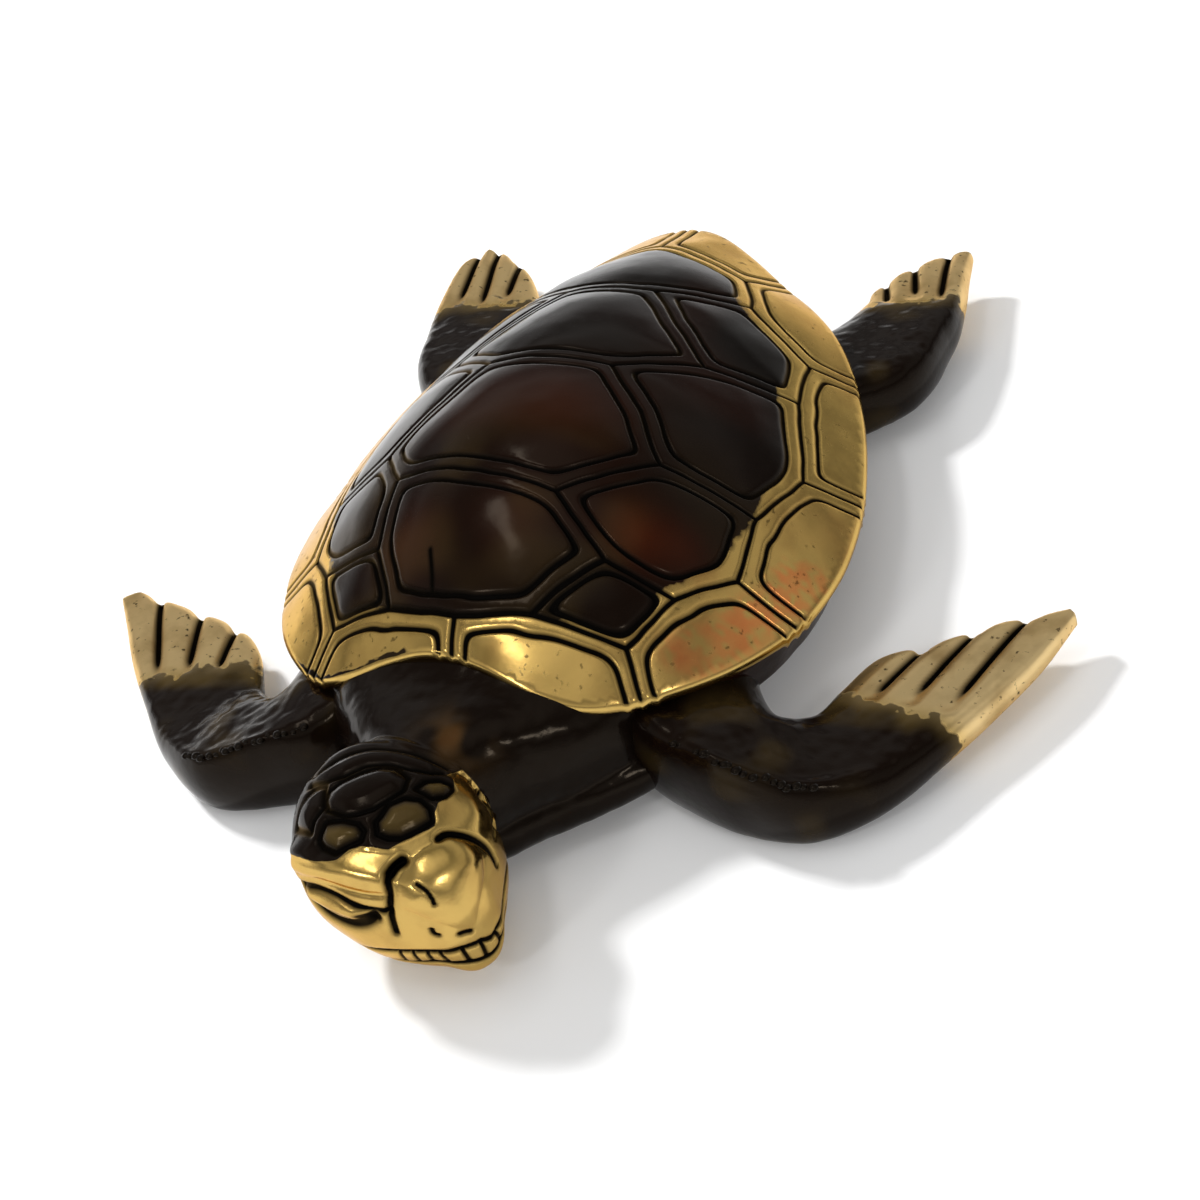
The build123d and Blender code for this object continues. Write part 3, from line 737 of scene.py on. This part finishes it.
head = {
    "centre": (-0.82, -71.35, 14.2), "turn": 52.7, "voxel": 0.28, "around": 96, "radius": 12.5, "jaw": 3.0,
    "skullRings": 60, "neckRings": 40, "chestRings": 30, "relax": 8, "blend": (0.4, 1.1),
    "skull": [(13.2, 0.5, 3.6, 3.6, 3.4, 2.0), (11.8, 0.4, 7.2, 7.4, 6.6, 2.0), (8.0, 0.3, 10.0, 9.4, 8.6, 2.1),
              (3.0, 0.1, 11.7, 10.6, 9.8, 2.2), (-2.0, 0.0, 11.2, 10.4, 10.9, 2.3),
              (-6.0, -0.4, 10.1, 9.2, 11.2, 2.4), (-9.5, -1.0, 7.8, 7.8, 10.0, 2.5), (-12.2, -1.8, 5.3, 6.4, 8.7, 2.6),
              (-14.0, -2.8, 3.7, 4.8, 7.8, 2.6), (-15.0, -3.6, 2.0, 3.4, 6.1, 2.4), (-15.4, -4.2, 0.6, 1.8, 3.2, 2.0)],
    "lean": [(-16.0, 0.0), (-6.0, -0.4), (-2.0, -1.0), (3.0, -1.4), (8.0, -1.2), (14.0, -0.8)],
    "neck": [(-41.0, 0.0, 10.0, 22.0, 13.2, 9.0, 2.4), (-46.0, 0.0, 10.0, 23.0, 13.0, 9.2, 2.5),
             (-51.0, 0.0, 10.6, 20.6, 11.2, 9.6, 2.6), (-56.0, -0.3, 11.2, 16.0, 10.6, 10.0, 2.5),
             (-60.0, -0.8, 12.0, 11.6, 10.0, 10.2, 2.3), (-65.0, -1.8, 13.0, 8.4, 8.8, 9.2, 2.1),
             (-70.0, -2.4, 13.6, 5.5, 6.4, 6.8, 2.0)],
    "chest": [(-43.0, 5.5, 27.0, 5.0, 4.6, 2.6), (-50.0, 5.5, 24.0, 5.0, 4.6, 2.6), (-55.0, 5.5, 18.6, 5.0, 4.6, 2.5),
              (-59.0, 5.6, 13.0, 5.0, 4.6, 2.4), (-63.0, 6.0, 9.0, 4.8, 4.4, 2.2), (-66.0, 6.8, 6.0, 4.2, 3.8, 2.0)],
    "brow": [(-102, 22), (-82, 30), (-63, 34), (-49, 33), (-37, 31)],
    "browFold": [(-101, 16), (-78, 24), (-60, 23), (-48, 22), (-35, 21)],
    "eye": [(-90, 8), (-76, 8), (-60, 7)],
    "lids": [[(-104, 5), (-99, 10), (-85, 16), (-72, 17), (-61, 14), (-54, 12), (-46, 11), (-36, 10)],
             [(-104, 4), (-97, 2), (-87, -5), (-77, -6), (-65, -5), (-54, 0), (-47, 6)]],
    "pupil": [(-93, 4), (-82, 2), (-72, 3)],
    "eyeEnd": [(-57, 4), (-51, 4), (-46, 4)],
    "cut": [(-18, 37), (-26, 35), (-31, 30), (-32, 24), (-34, 17), (-36, 10), (-37, 2), (-38, -7)],
    "cutTop": [(-19, 37), (-25, 35), (-29, 32)],
    "crease": [(12, 37), (18, 36), (23, 32), (28, 25), (32, 15), (34, 6), (34, -4)],
    "mouth": [(-72, -30), (-61, -27), (-49, -24), (-36, -22), (-25, -21), (-12, -18), (-7, -18), (-2, -17), (3, -20),
              (8, -22), (12, -21), (21, -23), (28, -22), (36, -21), (50, -24), (66, -28)],
    "lip": [(-60, -38), (-48, -36), (-28, -31), (-14, -27), (-7, -27), (0, -28), (6, -29), (12, -28), (24, -30),
            (44, -35), (60, -38)],
    "teeth": [[(-42, -24), (-42, -33)], [(-34, -22), (-33, -31)], [(-26, -22), (-25, -29)], [(-20, -20), (-17, -27)],
              [(-9, -18), (-8, -26)], [(0, -18), (0, -27)], [(9, -22), (10, -28)]],
    "nostrils": [[(-18, -3), (-18, -6), (-16, -7)], [(-7, -9), (-5, -9), (-2, -10)]],
    "noseMark": [(-15, 23), (-12, 19), (-11, 15), (-11, 12)],
    "nose": [(-26, 27), (-28, 19), (-28, 12), (-21, 7), (-14, 1), (-7, -5), (0, -8), (5, -3), (11, 2), (19, 6),
             (25, 11), (26, 19), (24, 26), (19, 32), (12, 36), (-2, 38), (-14, 36)],
    "crown": [(-180, -90), (-128, -90), (-122, 0), (-113, 23), (-97, 31), (-84, 35), (-68, 40), (-62, 47), (-51, 50),
              (-40, 49), (-27, 46), (-14, 48), (3, 47), (18, 44), (28, 49), (39, 50), (49, 46), (61, 41), (73, 41),
              (80, 44), (90, 30), (98, 10), (104, -90), (180, -90)],
    "plates": [[(-134, 56), (-121, 55), (-109, 56), (-87, 62), (-71, 67), (-43, 73), (-8, 77), (42, 73), (75, 70),
                (113, 70), (147, 71), (-171, 69), (-148, 62), (-134, 56)],
               [(-149, 36), (-148, 51), (-157, 61), (172, 66), (135, 68), (97, 65), (82, 54), (83, 45)],
               [(-160, 36), (-167, 41), (176, 44), (158, 46), (138, 49), (119, 47), (103, 44), (92, 38)],
               [(-95, 46), (-99, 52), (-83, 60), (-61, 62), (-51, 58), (-53, 52), (-64, 47), (-71, 42), (-84, 41),
                (-92, 42), (-95, 46)],
               [(-29, 68), (-9, 74), (26, 70), (35, 60), (30, 52), (20, 46), (4, 48), (-13, 49), (-25, 52), (-36, 56),
                (-38, 64), (-29, 68)],
               [(50, 66), (66, 60), (70, 50), (66, 42), (59, 41), (49, 46), (42, 54), (50, 66)],
               [(-122, 28), (-136, 30), (-144, 41), (-143, 52), (-116, 54), (-110, 45), (-103, 41), (-122, 28)]],
    "widths": {"cut": (0.40, 0.8), "cutTop": (0.7, 0.5), "crease": (0.45, 0.8), "mouth": (0.25, 0.5),
               "lip": (0.24, 0.45), "noseMark": (0.2, 0.3), "teeth": (0.2, 0.3), "nostrils": (0.24, 0.5)},
    "farDepth": 0.35, "farTurn": 10, "farWider": 1.02, "farLower": 6,
    "noseHeight": 1.4, "noseRun": 4.0, "plateHeight": 0.45, "plateCut": 0.4, "brownPlates": (3, 4, 5), "brown": 0.10,
    "amber": (4.0, -60.0, 22.0), "amberSize": 4.0, "amberThin": 0.07, "amberWarm": 4, "warm": 0.02,
}


def loftShell(rows, jaw=None):
    # Rounded above; below as well, unless jaw gives a boxier power
    n = head["around"]
    u = np.linspace(0, 2 * math.pi, n, endpoint=False)
    rings = []
    for centre, across, up, down, power in rows:
        q = np.where(np.sin(u) > 0, 2 / power, 2 / (jaw or power))
        ca = np.sign(np.cos(u)) * np.abs(np.cos(u)) ** q * across
        sa = np.sign(np.sin(u)) * np.abs(np.sin(u)) ** q * np.where(np.sin(u) > 0, up, down)
        rings.append(np.column_stack([centre[0] + ca, np.full(n, centre[1]), centre[2] + sa]))
    points = np.vstack(rings)
    ends = np.array([rows[0][0], rows[-1][0]])
    count = len(points)
    faces = ringFaces(len(rows), n) + fan(list(range(n)), count)
    faces += fan(list(range(count - n, count)), count + 1, flip=True)
    return np.vstack([points, ends]), faces


def smoothRows(rows, count):
    flat = through([(*centre, across, up, down, power) for centre, across, up, down, power in rows], count)
    return [(r[:3], *r[3:]) for r in flat]


def headFrame():
    a = math.radians(head["turn"])
    return np.array([[math.cos(a), -math.sin(a), 0], [math.sin(a), math.cos(a), 0], [0, 0, 1]])


def joinSkin(parts):
    # One closed skin from overlapping shells
    points, faces = [], []
    for p, f in parts:
        start = sum(len(q) for q in points)
        points.append(p)
        faces += [tuple(i + start for i in face) for face in f]
    raw = makePiece("headRaw", np.vstack(points), faces, {})
    remesh = raw.modifiers.new("skin", "REMESH")
    remesh.mode = "VOXEL"
    remesh.voxel_size = head["voxel"] * mm
    skin = bpy.data.meshes.new_from_object(raw.evaluated_get(bpy.context.evaluated_depsgraph_get()))
    bpy.data.objects.remove(raw)
    p = np.empty(len(skin.vertices) * 3)
    skin.vertices.foreach_get("co", p)
    e = np.empty(len(skin.edges) * 2, int)
    skin.edges.foreach_get("vertices", e)
    f = [tuple(q.vertices) for q in skin.polygons]
    bpy.data.meshes.remove(skin)
    return p.reshape(-1, 3) / mm, e.reshape(-1, 2), f


def relax(points, edges, rounds, amount=0.5):
    degree = np.bincount(edges.ravel(), minlength=len(points))[:, None]
    for _ in range(rounds):
        total = np.zeros_like(points)
        np.add.at(total, edges[:, 0], points[edges[:, 1]])
        np.add.at(total, edges[:, 1], points[edges[:, 0]])
        points = points + amount * (total / degree - points)
    return points


def normalsOf(points, faces):
    quads = np.array([f if len(f) == 4 else (*f, f[-1]) for f in faces])
    flat = np.cross(points[quads[:, 2]] - points[quads[:, 0]], points[quads[:, 3]] - points[quads[:, 1]])
    total = np.zeros_like(points)
    for k in range(4):
        np.add.at(total, quads[:, k], flat)
    return total / np.maximum(np.linalg.norm(total, axis=1), 1e-9)[:, None]


def aim(path):
    # From (yaw, lift) in degrees to places round the head's centre
    yaw, lift = np.radians(np.asarray(path, float)).T
    flat = np.cos(lift)
    return head["radius"] * np.column_stack([np.sin(yaw) * flat, -np.cos(yaw) * flat, np.sin(lift)])


def curveAim(path, count=24):
    return through(aim(path), count)


def mirrored(path):
    # The turned head hides its left eye: that side sits further round and lower
    return [(head["farTurn"] - a * head["farWider"], b - head["farLower"]) for a, b in path]


def carveFace(local):
    # Relief and cut lines of the face, by direction from the head's centre
    far = np.linalg.norm(local, axis=1)
    spot = local / far[:, None] * head["radius"]
    yaw = np.degrees(np.arctan2(local[:, 0], -local[:, 1]))
    lift = np.degrees(np.arctan2(local[:, 2], np.hypot(local[:, 0], local[:, 1])))
    relief, line = np.zeros(len(local)), np.zeros(len(local))
    cuts = []
    for flip, full in ((list, 1.0), (mirrored, head["farDepth"])):
        relief += full * bump(toPath(spot, curveAim(flip(head["brow"]))), 1.8)
        relief += 0.6 * bump(toPath(spot, curveAim(flip(head["eye"]))), 1.1)
        relief -= 0.35 * full * bump(toPath(spot, curveAim(flip(head["browFold"]))), 0.5)
        cuts += [(flip(head["lids"][0]), 0.22 + 0.2 * full, 0.6), (flip(head["lids"][1]), 0.4 + 0.4 * full, 0.8)]
        cuts += [(flip(head["eyeEnd"]), 0.6 * full, 0.5), (flip(head["pupil"]), 0.3, 0.3)]
    for key, sizes in head["widths"].items():
        paths = head[key] if key in ("teeth", "nostrils") else [head[key]]
        cuts += [(path, *sizes) for path in paths]
    angles = np.column_stack([yaw, lift])
    inNose = insideCell(angles, head["nose"])
    edge = np.clip(toPath(spot, aim(head["nose"] + head["nose"][:1])) / head["noseRun"], 0, 1)
    relief += np.where(inNose, head["noseHeight"] * (1 - (1 - edge) ** 2), 0)
    for path, width, depth in cuts:
        d = toPath(spot, curveAim(path))
        relief -= depth * bump(d, width)
        line = np.maximum(line, bump(d, width * 1.2))
    nearest = np.full(len(local), 9.0)
    for path in head["plates"]:
        nearest = np.minimum(nearest, toPath(spot, aim(path)))
    crown = np.array(head["crown"], float)
    above = lift - np.interp(yaw, crown[:, 0], crown[:, 1])
    top = ramp(above, -4, 1) * ramp(lift, 15, 24)
    relief += top * (head["plateHeight"] * ramp(nearest, 0.2, 2.2) - head["plateCut"] * bump(nearest, 0.38))
    line = np.maximum(line, top * bump(nearest, 0.45))
    bare = 1 - ramp(above, -3, 1)
    thin = np.zeros(len(local))
    for k in head["brownPlates"]:
        inside = insideCell(angles, head["plates"][k])
        thin = np.where(inside, head["brown"] * ramp(nearest, 0.2, 1.6), thin)
    return relief, line, bare, thin


def buildHead():
    turn, centre = headFrame(), np.array(head["centre"])
    leanY, leanX = np.array(head["lean"]).T
    skull = [((np.interp(y, leanY, leanX), y, z), *rest) for y, z, *rest in head["skull"]]
    skull = smoothRows(skull, head["skullRings"])
    points, faces = loftShell(skull, head["jaw"])
    points = points @ turn.T + centre
    neck = smoothRows([((x, y, z), *rest) for y, x, z, *rest in head["neck"]], head["neckRings"])
    chest = smoothRows([((0, y, z), *rest) for y, z, *rest in head["chest"]], head["chestRings"])
    p, e, f = joinSkin([(points, faces), loftShell(neck[::-1]), loftShell(chest[::-1])])
    p = relax(p, e, head["relax"])
    # The face is carved only where the joined skin lies on the skull
    skullSkin = BVHTree.FromPolygons([Vector(v) for v in points], faces)
    away = np.array([skullSkin.find_nearest(Vector(v))[3] for v in p])
    local = (p - centre) @ turn
    relief, line, bare, thin = carveFace(local)
    onHead = 1 - ramp(away, *head["blend"])
    wrinkle = 0.12 * softNoise(p * np.array([1, 2.2, 1]), 4.0, 41) + 0.04 * softNoise(p, 1.2, 42)
    push = relief * onHead + wrinkle * (1 - onHead)
    p = p + normalsOf(p, f) * push[:, None]
    p = relax(p, e, 1, 0.3)
    spot = bump(np.linalg.norm(p - np.array(head["amber"]), axis=1), head["amberSize"])
    amber = head["amberThin"] * spot * ramp(softNoise(p, 3.0, 43), -0.5, 0.5)
    layers = {"bare": bare * onHead, "line": line * onHead, "warm": head["warm"] + head["amberWarm"] * amber,
              "thin": thin * onHead + amber}
    return makePiece("head", p, f, layers)


headPiece = buildHead()
settle(headPiece, "head", darkBrass)
print("head", len(headPiece.data.polygons), "faces")


# Tail: short cone under the back of the shell

tail = {"line": [(42.0, 9.0, 4.6, 3.6), (49.0, 7.6, 3.4, 2.6), (55.0, 5.2, 2.0, 1.6), (59.0, 3.6, 0.7, 0.6)],
        "rings": 50, "uneven": [(1.8, 0.12, 51)], "bareFrom": (52, 58), "bare": 0.7, "warm": 0.1}


def buildTail():
    rows = smoothRows([((0, y, z), w, h, h, 2.0) for y, z, w, h in tail["line"]], tail["rings"])
    points, faces = loftShell(rows[::-1])
    points = points + unevenness(points, tail["uneven"])[:, None]
    bare = ramp(points[:, 1], *tail["bareFrom"]) * tail["bare"]
    none = np.zeros(len(points))
    return makePiece("tail", points, faces, {"bare": bare, "line": none, "warm": none + tail["warm"]})


tailPiece = buildTail()
settle(tailPiece, "tail", darkBrass)
print("tail ready")


# Floor, light and camera

studio = {
    "azimuth": 30.5, "elevation": 39.0, "roll": -18.5, "distance": 325.0, "focal": 2200.0, "centre": (622, 536),
    "picture": 1200, "sensor": 36,
    "sky": [(0.0, 1.0), (0.30, 0.16), (0.46, 0.66), (0.64, 0.58), (0.84, 0.20), (1.0, 1.0)],
    "front": (0.22, -0.78, 0.58), "fill": 0.10, "world": 0.90, "floor": 0.95, "floorLift": 0.06,
}
lamps = {
    "keyLight": {"place": (-0.60, 0.22, 0.68), "target": (0, 0, 0.02), "size": 0.12, "power": 6.8, "gloss": False},
    "topBox": {"place": (-0.20, -0.10, 0.90), "target": (0, 0, 0.02), "size": 0.50, "power": 0.9, "long": 0.10},
    "frontLeft": {"place": (-0.25, -0.65, 0.55), "target": (0, -0.02, 0.02), "size": 0.12, "power": 0.8},
    "frontRight": {"place": (0.6, -0.45, 0.6), "target": (0, -0.02, 0.02), "size": 0.12, "power": 0.6},
}


def addArea(name, place, target, size, power, gloss=True, long=None):
    data = bpy.data.lights.new(name, "AREA")
    data.size = size
    if long:
        data.shape, data.size_y = "RECTANGLE", long
    data.energy = power
    lamp = bpy.data.objects.new(name, data)
    lamp.location = place
    lamp.rotation_euler = (Vector(target) - Vector(place)).to_track_quat("-Z", "Y").to_euler()
    lamp.visible_glossy = gloss
    bpy.context.collection.objects.link(lamp)


def addFloor():
    mesh = bpy.data.meshes.new("floor")
    mesh.from_pydata([(-3, -3, 0), (3, -3, 0), (3, 3, 0), (-3, 3, 0)], [], [(0, 1, 2, 3)])
    floor = bpy.data.objects.new("floor", mesh)
    bpy.context.collection.objects.link(floor)
    mat = bpy.data.materials.new("floorWhite")
    mat.use_nodes = True
    tree = mat.node_tree
    shader = tree.nodes["Principled BSDF"]
    shader.inputs["Base Color"].default_value = (studio["floor"], studio["floor"], studio["floor"], 1)
    shader.inputs["Roughness"].default_value = 0.9
    shader.inputs["Specular IOR Level"].default_value = 0.0
    # The camera and what mirrors the floor see this much more white, so the shadow stays pale
    rays = tree.nodes.new("ShaderNodeLightPath")
    seen = mathNode(tree, "ADD", rays.outputs["Is Camera Ray"], rays.outputs["Is Glossy Ray"])
    seen = mathNode(tree, "ADD", seen, rays.outputs["Is Transmission Ray"])
    lift = mathNode(tree, "MULTIPLY", seen, studio["floorLift"])
    shader.inputs["Emission Color"].default_value = (1, 1, 1, 1)
    link(tree, lift, shader.inputs["Emission Strength"])
    mesh.materials.append(mat)


def addWorld():
    # White at the horizon and overhead, darker bands between, and a little more from the camera's side
    world = bpy.data.worlds.new("studio")
    bpy.context.scene.world = world
    world.use_nodes = True
    tree = world.node_tree
    back = tree.nodes["Background"]
    place = tree.nodes.new("ShaderNodeTexCoord").outputs["Generated"]
    split = addNode(tree, "ShaderNodeSeparateXYZ", {0: place})
    shade = addNode(tree, "ShaderNodeValToRGB", {"Fac": split.outputs["Z"]})
    stops = shade.color_ramp.elements
    for height, _ in studio["sky"][1:-1]:
        stops.new(height)
    for stop, (_, level) in zip(stops, studio["sky"]):
        stop.color = (level, level, level, 1)
    dot = addNode(tree, "ShaderNodeVectorMath", {0: place}, operation="DOT_PRODUCT")
    dot.inputs[1].default_value = studio["front"]
    fill = mathNode(tree, "MULTIPLY", mathNode(tree, "MAXIMUM", dot.outputs["Value"], 0.0), studio["fill"])
    total = addNode(tree, "ShaderNodeVectorMath", {0: shade.outputs["Color"], 1: fill})
    link(tree, total.outputs[0], back.inputs["Color"])
    back.inputs["Strength"].default_value = studio["world"]


def addCamera():
    az, el, roll = (math.radians(studio[k]) for k in ("azimuth", "elevation", "roll"))
    back = np.array([math.sin(az) * math.cos(el), -math.cos(az) * math.cos(el), math.sin(el)])
    right = np.array([math.cos(az), math.sin(az), 0])
    up = np.cross(back, right)
    r2 = math.cos(roll) * right + math.sin(roll) * up
    u2 = -math.sin(roll) * right + math.cos(roll) * up
    cx, cy = studio["centre"]
    wide = studio["picture"]
    data = bpy.data.cameras.new("camera")
    data.shift_x, data.shift_y = (wide / 2 - cx) / wide, (cy - wide / 2) / wide
    data.lens = studio["sensor"] * studio["focal"] / wide
    data.sensor_width = studio["sensor"]
    data.clip_start = 0.01
    cam = bpy.data.objects.new("camera", data)
    turn = Matrix((r2, u2, back)).transposed().to_4x4()
    cam.matrix_world = Matrix.Translation(Vector(back * studio["distance"] * mm)) @ turn
    bpy.context.collection.objects.link(cam)
    bpy.context.scene.camera = cam


addFloor()
addWorld()
for lampName, lampData in lamps.items():
    addArea(lampName, **lampData)
addCamera()
bpy.context.scene.view_settings.view_transform = "Standard"
print("studio ready")
